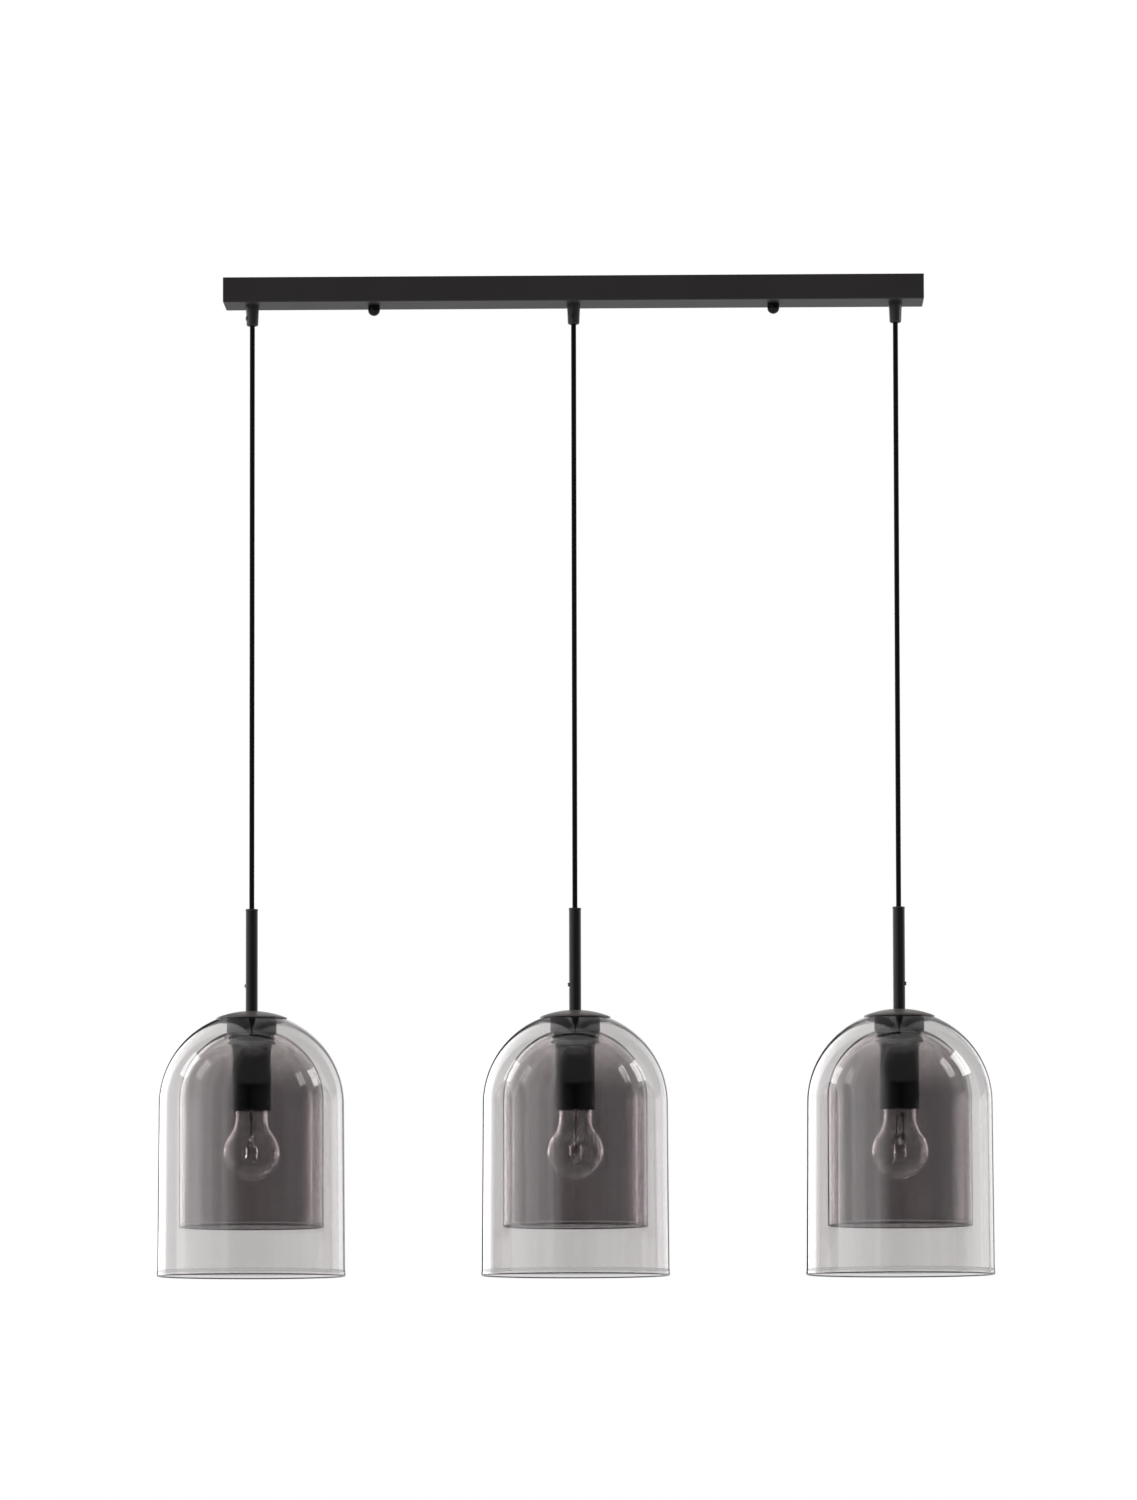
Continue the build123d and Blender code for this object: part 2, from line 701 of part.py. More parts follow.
def screw_shell(number, x):
    contact_foot = bulb_tip + running_gap
    with BuildPart() as shell:
        with BuildSketch(level(x, insert_foot)):
            Circle(shell_diameter / 2)
            Circle(shell_bore / 2, mode=Mode.SUBTRACT)
        extrude(amount=shell_length)
        with BuildSketch(level(x, insert_foot)):
            Circle(shell_diameter / 2 + shell_lip)
            Circle(shell_bore / 2, mode=Mode.SUBTRACT)
        extrude(amount=-shell_wall)
        with BuildSketch(level(x, contact_foot)):
            Circle(contact_diameter / 2)
        extrude(amount=contact_thickness)
        with BuildSketch(level(x, contact_foot)):
            Circle(contact_post_diameter / 2)
        extrude(amount=socket_roof + insert_web - contact_foot)
    keep(shell, f"screw_shell_{number}")


def bulb_outline(inset):
    """The bulb's outline from its shoulder to its foot, moved inwards by a wall."""
    neck_top = bulb_skirt_foot - bulb_collar_length
    neck_foot = bulb_skirt_foot - bulb_neck_length
    rise = neck_foot - bulb_centre
    step = bulb_neck_radius - bulb_root_radius
    shoulder = (step**2 + bulb_collar_length**2) / (2 * step)
    lean = degrees(acos((shoulder - step) / shoulder))
    flank = (rise**2 + bulb_neck_radius**2 - bulb_radius**2) / (2 * (bulb_radius - bulb_neck_radius))
    meeting = degrees(acos((bulb_neck_radius + flank) / (bulb_radius + flank)))
    CenterArc((bulb_neck_radius - shoulder, neck_top), shoulder - inset, 0, lean)
    Line((bulb_neck_radius - inset, neck_top), (bulb_neck_radius - inset, neck_foot))
    CenterArc((bulb_neck_radius + flank, neck_foot), flank + inset, 180, meeting)
    CenterArc((0, bulb_centre), bulb_radius - inset, -90, 90 + meeting)


def bulb_glass(number, x):
    root_top = bulb_skirt_foot + bulb_root_length
    with BuildPart() as glass:
        with BuildSketch(section(x)):
            with BuildLine() as outline:
                bulb_outline(0)
                bulb_outline(bulb_glass_wall)
                inner_shoulder = outline.vertices().sort_by(Axis.Y)[-2]
                Polyline((bulb_root_radius, bulb_skirt_foot),
                         (bulb_root_radius, root_top),
                         (bulb_root_radius - bulb_glass_wall, root_top),
                         (bulb_root_radius - bulb_glass_wall, bulb_skirt_foot),
                         (inner_shoulder.X, inner_shoulder.Y))
                Line((0, bulb_foot), (0, bulb_foot + bulb_glass_wall))
            make_face()
        revolve(axis=upright(x))
    keep(glass, f"bulb_glass_{number}")


def bulb_cap(number, x):
    contact = bulb_contact_diameter / 2
    skirt = bulb_cap_diameter / 2
    cone_top = bulb_tip - bulb_contact_height
    cone_foot = cone_top - bulb_cap_cone
    with BuildPart() as cap:
        with BuildSketch(section(x)):
            with BuildLine():
                Polyline(
                    (0, bulb_tip),
                    (contact, bulb_tip),
                    (contact, cone_top),
                    (bulb_cap_cone_diameter / 2, cone_top),
                    (skirt, cone_foot),
                    (skirt, bulb_skirt_foot),
                    (skirt - bulb_cap_wall, bulb_skirt_foot),
                    (skirt - bulb_cap_wall, cone_foot),
                    (0, cone_foot),
                    close=True,
                )
            make_face()
        revolve(axis=upright(x))
    keep(cap, f"bulb_cap_{number}")


def bulb_capsule(number, x, turn):
    mount_top = bulb_skirt_foot + bulb_root_length
    flange = bulb_root_radius - bulb_glass_wall - fit_gap
    press_top = mount_top - mount_length
    press_foot = press_top - press_height
    pinch_top = press_foot - lead_wire_length
    pinch_foot = pinch_top - pinch_height
    capsule_foot = pinch_foot - capsule_straight
    with BuildPart() as capsule:
        with BuildSketch(section(x)):
            with BuildLine():
                Polyline((0, mount_top), (flange, mount_top), (flange, mount_top - mount_flange),
                         (mount_radius, mount_top - mount_flange - mount_flare_length),
                         (mount_radius, press_top), (0, press_top), close=True)
            make_face()
        revolve(axis=upright(x))
        with BuildSketch(turned_level(x, press_foot, turn)):
            Rectangle(press_width, press_thickness)
        extrude(amount=press_height + press_root)
        with BuildSketch(turned_level(x, pinch_top - lead_wire_embedding, turn)):
            with GridLocations(lead_wire_spacing, 0, 2, 1):
                Circle(lead_wire_diameter / 2)
        extrude(amount=lead_wire_length + 2 * lead_wire_embedding)
        with BuildSketch(turned_level(x, pinch_foot, turn)):
            Rectangle(pinch_width, pinch_thickness)
        extrude(amount=pinch_height)
        with BuildSketch(section(x)):
            with BuildLine():
                Polyline((0, capsule_foot - capsule_radius), (0, pinch_foot + capsule_shoulder),
                         (capsule_radius - capsule_shoulder, pinch_foot + capsule_shoulder),
                         (capsule_radius, pinch_foot), (capsule_radius, capsule_foot))
                CenterArc((0, capsule_foot), capsule_radius, -90, 90)
            make_face()
        revolve(axis=upright(x))
        with BuildSketch(level(x, capsule_foot - capsule_radius - capsule_tip_standout)):
            Circle(capsule_tip_diameter / 2)
        extrude(amount=capsule_radius + capsule_tip_standout)
    keep(capsule, f"bulb_capsule_{number}")


os.makedirs("parts", exist_ok=True)

canopy_cover()
ceiling_bracket()
bracket_studs()
cap_nuts()
cord_grips()
grip_nuts()
grip_screws()
terminal_box()
cord_leads()

for (number, x), screw_angle, bulb_turn in zip(pendants, stem_screw_angles, bulb_turns):
    cord_flex(number, x)
    cord(number, x)
    stem(number, x, screw_angle)
    stem_bush(number, x)
    stem_screw(number, x, screw_angle)
    nipple(number, x)
    dome_cap(number, x)
    outer_glass(number, x)
    glass_seals(number, x)
    inner_glass(number, x)
    clamp_plate(number, x)
    holder_sleeve(number, x)
    socket_insert(number, x)
    screw_shell(number, x)
    bulb_glass(number, x)
    bulb_cap(number, x)
    bulb_capsule(number, x, bulb_turn)
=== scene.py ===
import math

import bpy
from mathutils import Matrix, Vector


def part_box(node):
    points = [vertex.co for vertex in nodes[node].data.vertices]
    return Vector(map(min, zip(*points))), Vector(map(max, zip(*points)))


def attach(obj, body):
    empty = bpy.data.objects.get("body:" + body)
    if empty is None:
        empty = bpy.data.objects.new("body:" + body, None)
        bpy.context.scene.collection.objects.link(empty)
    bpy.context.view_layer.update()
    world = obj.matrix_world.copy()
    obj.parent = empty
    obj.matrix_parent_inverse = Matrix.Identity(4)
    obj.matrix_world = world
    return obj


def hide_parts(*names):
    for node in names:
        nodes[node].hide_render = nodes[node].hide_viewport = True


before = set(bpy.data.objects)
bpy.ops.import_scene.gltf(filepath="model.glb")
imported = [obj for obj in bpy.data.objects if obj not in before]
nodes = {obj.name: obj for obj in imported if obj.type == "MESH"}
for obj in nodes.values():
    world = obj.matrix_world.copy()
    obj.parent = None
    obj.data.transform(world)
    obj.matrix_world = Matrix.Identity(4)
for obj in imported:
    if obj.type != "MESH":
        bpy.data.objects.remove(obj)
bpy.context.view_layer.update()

# A ceiling bar with three pendants: smoked glass bells, one inside the other, black metal and clear bulbs.
# Metres in the scene; the dictionaries of sizes are in millimetres, as on a drawing.

mm = 0.001
pendants = (1, 2, 3)
axisX = {number: (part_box(f"outer_glass_{number}")[0].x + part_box(f"outer_glass_{number}")[1].x) / 2
         for number in pendants}
modelX = axisX[2]  # what repeats is modelled on the middle pendant


def clearSelection():
    bpy.ops.object.select_all(action="DESELECT")


# sRGB hex to linear
def linearColour(hexValue):
    channels = [int(hexValue[i:i + 2], 16) / 255 for i in (1, 3, 5)]
    return [c / 12.92 if c <= 0.04045 else ((c + 0.055) / 1.055) ** 2.4 for c in channels] + [1.0]


# inputs are values, or the sockets that they come from
def fillSockets(tree, node, inputs):
    for socket, value in inputs.items():
        if isinstance(value, bpy.types.NodeSocket):
            tree.links.new(value, node.inputs[socket])
        else:
            node.inputs[socket].default_value = value


def addNode(tree, kind, inputs=None, **settings):
    node = tree.nodes.new(kind)
    for name, value in settings.items():
        setattr(node, name, value)
    fillSockets(tree, node, inputs or {})
    return node


def startMaterial(name):
    material = bpy.data.materials.new(name)
    material.use_nodes = True
    tree = material.node_tree
    return material, tree, tree.nodes["Principled BSDF"]


# a chain of points in the plane through the middle pendant's axis, X as the radius and Z up
def drawProfile(name, points, closed=False):
    clearSelection()
    bpy.ops.mesh.primitive_plane_add(size=mm, location=(modelX, 0, 0))
    piece = bpy.context.object
    piece.name = piece.data.name = name
    bpy.ops.object.transform_apply(location=True)
    bpy.ops.object.mode_set(mode="EDIT")
    bpy.ops.mesh.select_mode(type="VERT")
    bpy.ops.mesh.select_all(action="SELECT")
    bpy.ops.mesh.merge(type="CENTER")
    bpy.ops.transform.translate(value=(points[0][0] * mm, 0, points[0][1] * mm))
    for before, after in zip(points, points[1:]):
        step = ((after[0] - before[0]) * mm, 0, (after[1] - before[1]) * mm)
        bpy.ops.mesh.extrude_vertices_move(TRANSFORM_OT_translate={"value": step})
    if closed:  # one edge from the last point back to the first; a face there would be left inside the spun wall
        bpy.ops.mesh.select_all(action="DESELECT")
        bpy.ops.object.mode_set(mode="OBJECT")
        piece.data.vertices[0].select = piece.data.vertices[len(points) - 1].select = True
        bpy.ops.object.mode_set(mode="EDIT")
        bpy.ops.mesh.edge_face_add()
    bpy.ops.mesh.select_all(action="SELECT")
    return piece


# a profile spun round the middle pendant's axis, as on a lathe
def turnProfile(name, points, steps, closed=False):
    piece = drawProfile(name, points, closed)
    bpy.ops.mesh.spin(steps=steps, angle=2 * math.pi, center=(modelX, 0, 0), axis=(0, 0, 1))
    bpy.ops.mesh.select_all(action="SELECT")
    bpy.ops.mesh.remove_doubles(threshold=0.00001)
    bpy.ops.mesh.normals_make_consistent(inside=False)
    bpy.ops.object.mode_set(mode="OBJECT")
    bpy.ops.object.shade_smooth_by_angle(angle=math.radians(40))
    return piece


def arcPoints(centreX, centreZ, radius, startAngle, endAngle, steps):
    points = []
    for i in range(steps + 1):
        angle = math.radians(startAngle + (endAngle - startAngle) * i / steps)
        points.append((centreX + radius * math.cos(angle), centreZ + radius * math.sin(angle)))
    return points


# a copy with its own mesh, moved to a pendant and turned round its axis
def copyToPendant(source, number, turn=0.0):
    clearSelection()
    copy = source.copy()
    copy.data = source.data.copy()
    copy.name = copy.data.name = f"{source.name[:-5]}_{number}"
    bpy.context.scene.collection.objects.link(copy)
    place = Matrix.Translation((axisX[number], 0, 0)) @ Matrix.Rotation(math.radians(turn), 4, "Z")
    copy.data.transform(place @ Matrix.Translation((-modelX, 0, 0)))
    copy.data.update()
    return copy


def dropModel(*pieces):
    for piece in pieces:
        bpy.data.objects.remove(piece)


def paintNodes(material, *names):
    for name in names:
        node = nodes[name]
        if node.data.materials:
            node.data.materials[0] = material
        else:
            node.data.materials.append(material)


def each(*names):
    return [f"{name}_{number}" for name in names for number in pendants]


# blown glass stained grey: clear and glossy, uneven in tone along its draw lines, paler towards the top and dark
# in the rounded lip, where light comes the long way through the wall; waviness and drawLines are heights in mm
def smokedGlass(name, lip, tint, paleTint, paleHeights, lipTint, ior, waviness, drawLines, streaks):
    material, tree, shader = startMaterial(name)
    place = addNode(tree, "ShaderNodeTexCoord")
    axes = addNode(tree, "ShaderNodeSeparateXYZ", {"Vector": place.outputs["Object"]})
    thinning = addNode(tree, "ShaderNodeMapRange", {"Value": axes.outputs["Z"], "From Min": paleHeights[0] * mm,
                                                    "From Max": paleHeights[1] * mm})
    # draw lines up the wall, 7 mm apart with finer ones between; the finest would not show and are left out
    upright = addNode(tree, "ShaderNodeMapping", {"Vector": place.outputs["Object"], "Scale": (1, 1, 0.012)})
    lines = addNode(tree, "ShaderNodeTexNoise", {"Vector": upright.outputs["Vector"], "Scale": 150.0, "Detail": 2.0,
                                                 "Roughness": 0.55})
    uneven = addNode(tree, "ShaderNodeMath", {0: lines.outputs["Fac"], 1: streaks, 2: -streaks / 2},
                     operation="MULTIPLY_ADD")
    thinness = addNode(tree, "ShaderNodeMath", {0: thinning.outputs["Result"], 1: uneven.outputs["Value"]},
                       operation="ADD")
    colour = addNode(tree, "ShaderNodeMix", {"Factor": thinness.outputs["Value"], "A": linearColour(tint),
                                             "B": linearColour(paleTint)}, data_type="RGBA", clamp_factor=False)
    # the dark of the lip is 0.9 mm high, with a soft upper edge
    nearLip = addNode(tree, "ShaderNodeMapRange", {"Value": axes.outputs["Z"], "From Min": lip + 0.9 * mm,
                                                   "From Max": lip + 1.6 * mm})
    colour = addNode(tree, "ShaderNodeMix", {"Factor": nearLip.outputs["Result"], "A": linearColour(lipTint),
                                             "B": colour.outputs["Result"]}, data_type="RGBA")
    # slow waves of a blown wall, 38 mm apart round it
    stretch = addNode(tree, "ShaderNodeMapping", {"Vector": place.outputs["Object"], "Scale": (1, 1, 0.25)})
    waves = addNode(tree, "ShaderNodeTexNoise", {"Vector": stretch.outputs["Vector"], "Scale": 26.0, "Detail": 1.0,
                                                 "Roughness": 0.4})
    slow = addNode(tree, "ShaderNodeBump", {"Height": waves.outputs["Fac"], "Distance": waviness * mm})
    fine = addNode(tree, "ShaderNodeBump", {"Height": lines.outputs["Fac"], "Distance": drawLines * mm,
                                            "Normal": slow.outputs["Normal"]})
    fillSockets(tree, shader, {"Base Color": colour.outputs["Result"], "Roughness": 0.0, "IOR": ior,
                               "Transmission Weight": 1.0, "Normal": fine.outputs["Normal"]})
    return material


# thin blown bulb glass, or fused quartz: clear and sharp, with faint waves 17 mm apart in its reflections; its index
# is set a little high, so that edges still show through two smoked walls
def clearGlass(name, hexValue, ior):
    material, tree, shader = startMaterial(name)
    place = addNode(tree, "ShaderNodeTexCoord")
    waves = addNode(tree, "ShaderNodeTexNoise", {"Vector": place.outputs["Object"], "Scale": 60.0, "Detail": 1.0})
    bump = addNode(tree, "ShaderNodeBump", {"Height": waves.outputs["Fac"], "Distance": 0.012 * mm})
    fillSockets(tree, shader, {"Base Color": linearColour(hexValue), "Roughness": 0.0, "IOR": ior,
                               "Transmission Weight": 1.0, "Normal": bump.outputs["Normal"]})
    return material


# black powder coat on sheet steel: satin and slightly mottled, with the orange peel of baked powder, 1.1 mm apart
def powderCoat():
    material, tree, shader = startMaterial("powderCoatBlack")
    place = addNode(tree, "ShaderNodeTexCoord")
    peel = addNode(tree, "ShaderNodeTexNoise", {"Vector": place.outputs["Object"], "Scale": 900.0, "Detail": 3.0})
    tone = addNode(tree, "ShaderNodeTexNoise", {"Vector": place.outputs["Object"], "Scale": 14.0, "Detail": 4.0})
    colour = addNode(tree, "ShaderNodeMix", {"Factor": tone.outputs["Fac"], "A": linearColour("#221f1f"),
                                             "B": linearColour("#2a2626")}, data_type="RGBA")
    rough = addNode(tree, "ShaderNodeMapRange", {"Value": tone.outputs["Fac"], "To Min": 0.42, "To Max": 0.52})
    bump = addNode(tree, "ShaderNodeBump", {"Height": peel.outputs["Fac"], "Distance": 0.02 * mm,
                                            "Strength": 0.5})
    fillSockets(tree, shader, {"Base Color": colour.outputs["Result"], "Roughness": rough.outputs["Result"],
                               "Specular IOR Level": 0.38, "Normal": bump.outputs["Normal"]})
    return material


# black stove enamel on tube and turned metal: smoother than powder, deep black with a soft sheen, its faint peel
# 0.8 mm apart
def satinPaint():
    material, tree, shader = startMaterial("stoveEnamelBlack")
    place = addNode(tree, "ShaderNodeTexCoord")
    peel = addNode(tree, "ShaderNodeTexNoise", {"Vector": place.outputs["Object"], "Scale": 1200.0, "Detail": 2.0})
    rough = addNode(tree, "ShaderNodeMapRange", {"Value": peel.outputs["Fac"], "To Min": 0.28, "To Max": 0.36})
    bump = addNode(tree, "ShaderNodeBump", {"Height": peel.outputs["Fac"], "Distance": 0.008 * mm,
                                            "Strength": 0.4})
    fillSockets(tree, shader, {"Base Color": linearColour("#0d0b0b"), "Roughness": rough.outputs["Result"],
                               "Specular IOR Level": 0.35, "Normal": bump.outputs["Normal"]})
    return material


# a moulded, drawn or plated finish: one colour, with a grain in its gloss and relief; a real grain is often finer
# and is drawn 0.2 to 0.8 mm wide, so that it shows from close by
def plainFinish(name, hexValue, roughness, grain, metallic=0.0, specular=0.5):
    material, tree, shader = startMaterial(name)
    place = addNode(tree, "ShaderNodeTexCoord")
    spots = addNode(tree, "ShaderNodeTexNoise", {"Vector": place.outputs["Object"], "Scale": 1 / (grain * mm),
                                                 "Detail": 3.0})
    rough = addNode(tree, "ShaderNodeMapRange", {"Value": spots.outputs["Fac"], "To Min": roughness * 0.85,
                                                 "To Max": roughness * 1.15})
    bump = addNode(tree, "ShaderNodeBump", {"Height": spots.outputs["Fac"], "Distance": 0.01 * mm,
                                            "Strength": 0.4})
    fillSockets(tree, shader, {"Base Color": linearColour(hexValue), "Roughness": rough.outputs["Result"],
                               "Metallic": metallic, "Specular IOR Level": specular,
                               "Normal": bump.outputs["Normal"]})
    return material


# light grey outer bells: the white behind stays pale
paleSmoke = smokedGlass("smokedGlassPale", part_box("outer_glass_2")[0].z, tint="#dfdddd", paleTint="#e4e2e2",
                        paleHeights=(-820, -750), lipTint="#4a4748", ior=1.5, waviness=0.12, drawLines=0.02,
                        streaks=1.2)
# dark warm grey inner bells: the lamp holder and the bulb still show through both
darkSmoke = smokedGlass("smokedGlassDark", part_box("inner_glass_2")[0].z, tint="#a49fa0", paleTint="#e6e3e2",
                        paleHeights=(-815, -762), lipTint="#1c1a1a", ior=1.6, waviness=0.12, drawLines=0.025,
                        streaks=0.5)
bulbGlass = clearGlass("blownBulbGlass", "#fbfbfa", 1.55)  # colourless
quartz = clearGlass("fusedQuartz", "#f6f6f4", 1.55)  # colourless, a shade greyer
coat = powderCoat()
enamel = satinPaint()
# name, colour, roughness, grain in mm and how metallic
blackNickel = plainFinish("blackNickelPlate", "#141313", 0.16, 0.5, 0.6)  # near black mirror on the cap nuts
zincPlate = plainFinish("brightZincPlate", "#c3c5c6", 0.3, 0.4, 1.0)  # cool bright steel inside the bar
nylon = plainFinish("mouldedNylonBlack", "#1d1c1c", 0.45, 0.35)  # matt black, a little grey
urea = plainFinish("mouldedUreaWhite", "#d9d6cd", 0.4, 0.5)  # warm white terminal box
cordSheath = plainFinish("extrudedPvcBlack", "#050505", 0.6, 0.6, specular=0.12)  # dull deep black
holderLacquer = plainFinish("mattLacquerBlack", "#0a0909", 0.5, 0.3, specular=0.12)  # dull black lamp holder
capPaintedSheen = plainFinish("satinLacquerGraphite", "#595352", 0.3, 0.3)  # black lacquer drawn warm dark grey, satin: a painted sheen of the light from overhead
silicone = plainFinish("siliconeRubberBlack", "#121111", 0.6, 0.5)  # soft matt black rings
porcelain = plainFinish("glazedPorcelain", "#e6e3da", 0.18, 0.8)  # glossy warm white
brass = plainFinish("rolledBrass", "#c9a35a", 0.25, 0.4, 1.0)  # yellow metal of the screw shell
aluminium = plainFinish("rolledAluminium", "#cfcfce", 0.28, 0.3, 1.0)  # pale thin metal of the bulb cap
darkWire = plainFinish("oxidisedNickelWire", "#2a2523", 0.4, 0.2, 0.8)  # brown black wires
brightFoil = plainFinish("molybdenumFoil", "#c9c7c2", 0.22, 0.2, 1.0)  # bright foil in the pinch
endGlass = plainFinish("pressedGlassBlack", "#0b0a0c", 0.1, 0.5)  # glossy black glass at the cap's end
solder = plainFinish("tinSolder", "#b9b9b6", 0.35, 0.3, 1.0)  # dull silver contact
tungsten = plainFinish("drawnTungsten", "#8d8a86", 0.3, 0.2, 1.0)  # grey filament wire
print("materials made")

paintNodes(coat, "canopy_cover")
paintNodes(zincPlate, "ceiling_bracket", "bracket_studs", *each("nipple"))
paintNodes(blackNickel, "cap_nuts")
paintNodes(nylon, "cord_grips", "grip_nuts", "grip_screws", *each("stem_bush"))
paintNodes(urea, "terminal_box")
paintNodes(cordSheath, "cord_leads", *each("cord", "cord_flex"))
paintNodes(enamel, *each("stem", "stem_screw", "clamp_plate"))
paintNodes(holderLacquer, *each("holder_sleeve"))
# the dome caps get the black lacquer with its painted sheen of overhead light
paintNodes(capPaintedSheen, *each("dome_cap"))
paintNodes(silicone, *each("glass_seals"))
paintNodes(porcelain, *each("socket_insert"))
paintNodes(brass, *each("screw_shell"))
print("frame nodes painted")


# camera: fitted to the bar's corners and the shades' rims
cameraView = {
    "place": (119.18, -6580.5, -1172.8),  # mm in the part's frame
    "turn": 0.01911,  # radians to the left
    "tilt": 0.0682,  # radians upwards
    "roll": -0.00225,
    "focalPixels": 6633.6,
    "frameWidth": 1137,
    "shift": 250,  # pixels that the picture is moved up, as with a rising front
}


def makeCamera(view):
    data = bpy.data.cameras.new("camera")
    camera = bpy.data.objects.new("camera", data)
    bpy.context.scene.collection.objects.link(camera)
    data.sensor_fit = "HORIZONTAL"
    data.sensor_width = 36.0
    data.lens = data.sensor_width * view["focalPixels"] / view["frameWidth"]
    data.shift_y = view["shift"] / view["frameWidth"]
    data.clip_end = 100.0
    level = Matrix.Rotation(view["turn"], 4, "Z") @ Matrix.Rotation(math.pi / 2 + view["tilt"], 4, "X")
    place = Matrix.Translation(Vector(view["place"]) * mm)
    camera.matrix_world = place @ level @ Matrix.Rotation(view["roll"], 4, "Z")
    bpy.context.scene.camera = camera


makeCamera(cameraView)


# three cords that hang, and their leads inside the bar
cordSizes = {
    "diameter": 5.0,
    "gripMouth": -45.0,
    "hangingEnd": -775.4,  # inside the lamp holder
}

leadRoutes = {
    1: [(-322, 0, -45), (-322, 0, -10.8), (-312, -0.5, -4.5), (-277, -4, -14), (-222, -12, -21),
        (-162, -9, -21), (-118, 0, -15.8), (-104.1, 0, -15.8)],
    2: [(0, 0, -45), (0, 0, -12.3), (-9, -1, -6.5), (-30, -3.5, -12), (-52, -5.5, -15.8),
        (-65.9, -5.5, -15.8)],
    3: [(322, 0, -45), (322, 0, -10.8), (312, 0.5, -4.5), (277, 4, -14), (217, 13, -21), (142, 14, -21),
        (67, 13, -21), (2, 14.5, -21), (-52, 5.5, -15.8), (-65.9, 5.5, -15.8)],
}


# the order is set after the points, because before them it would stay at straight runs
def drawRoute(data, points):
    data.dimensions = "3D"
    spline = data.splines.new("NURBS")
    spline.points.add(len(points) - 1)
    for point, place in zip(spline.points, points):
        point.co = (*(Vector(place) * mm), 1.0)
    spline.order_u = 3
    spline.use_endpoint_u = True
    return spline


def makeCord(name, points, diameter):
    data = bpy.data.curves.new(name, "CURVE")
    drawRoute(data, points)
    data.bevel_depth = diameter * mm / 2
    data.bevel_resolution = 6
    data.resolution_u = 8
    data.use_fill_caps = True
    data.materials.append(cordSheath)
    cord = bpy.data.objects.new(name, data)
    bpy.context.scene.collection.objects.link(cord)
    return cord


def curveLength(points):
    data = bpy.data.curves.new("measure", "CURVE")
    length = drawRoute(data, points).calc_length(resolution=64)
    bpy.data.curves.remove(data)
    return length


for number in pendants:
    x = axisX[number] / mm
    top, end = cordSizes["gripMouth"], cordSizes["hangingEnd"]
    route = [(x, 0, top), (x, 0, -250.0), (x, 0, -450.0), (x, 0, end)]
    cord = makeCord(f"hangingCord_{number}", route, cordSizes["diameter"])
    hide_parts(f"cord_{number}", f"cord_flex_{number}")
    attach(cord, f"pendant_{number}")

    lead = makeCord(f"lead_{number}", leadRoutes[number], cordSizes["diameter"])
    curveLength(leadRoutes[number])
    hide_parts("cord_leads")
    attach(lead, "canopy")
print("cords made")


# glass bells: two turned walls, one inside the other
outerGlass = {
    "domeRadius": 92.0,
    "rimRadius": 93.2,
    "straight": 171.0,
    "wall": 2.5,
    "bandStandout": 0.2,  # the rim is a little thicker, as fire-polished glass is
    "bandHeight": 6.0,
    "lipSpread": 0.4,
    "hole": 12.6,
    "steps": 256,
}
innerGlass = {
    "domeRadius": 71.6,
    "rimRadius": 71.6,
    "straight": 127.0,
    "wall": 2.5,
    "bandStandout": 0.1,
    "bandHeight": 4.0,
    "lipSpread": 0.2,
    "hole": 12.6,
    "steps": 224,
}


def makeBell(name, sizes, node, material):
    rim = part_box(f"{node}_2")[0].z / mm
    centre = rim + sizes["straight"]
    outside, wall = sizes["domeRadius"], sizes["wall"]
    bore = outside - wall
    boreAtRim = sizes["rimRadius"] - wall
    lip = sizes["rimRadius"] + sizes["lipSpread"]
    hole = sizes["hole"] / 2
    bandTop = rim + sizes["bandHeight"]
    lipTop = rim + (lip - boreAtRim) / 2
    # a short step at each end of a straight run keeps the smooth shading of the curves out of it
    spans = (0.004, 0.2, 0.4, 0.6, 0.8, 0.98, 0.995)
    points = arcPoints(0, centre, outside, math.degrees(math.acos(hole / outside)), 0, 36)
    points += [(outside + (sizes["rimRadius"] - outside) * i, centre + (bandTop - centre) * i) for i in (*spans, 1)]
    points += [(sizes["rimRadius"] + sizes["bandStandout"] * math.sin(math.pi * i / 8) ** 2
                + sizes["lipSpread"] * i / 8, bandTop + (lipTop - bandTop) * i / 8) for i in range(1, 8)]
    points += arcPoints((lip + boreAtRim) / 2, lipTop, (lip - boreAtRim) / 2, 0, -180, 8)
    points += [(bore + (boreAtRim - bore) * i, centre + (lipTop - centre) * i) for i in spans[::-1]]
    points += arcPoints(0, centre, bore, 0, math.degrees(math.acos(hole / bore)), 36)
    model = turnProfile(f"{name}Model", points, sizes["steps"], closed=True)
    model.data.materials.append(material)
    for number in pendants:
        bell = copyToPendant(model, number)
        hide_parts(f"{node}_{number}")
        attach(bell, f"pendant_{number}")
    dropModel(model)


makeBell("outerBell", outerGlass, "outer_glass", paleSmoke)
makeBell("innerBell", innerGlass, "inner_glass", darkSmoke)
print("glass bells made")


# bulb glass: blown, with a neck that goes up into the cap
bulbSizes = {
    "radius": 27.75,
    "neckRadius": 15.8,
    "neckLength": 14.0,
    "collarLength": 5.5,
    "rootRadius": 12.6,
    "rootLength": 6.0,
    "wall": 0.9,
    "turns": {1: 80.0, 2: 95.0, 3: 8.0},  # degrees that each bulb is screwed round
    "steps": 96,
}


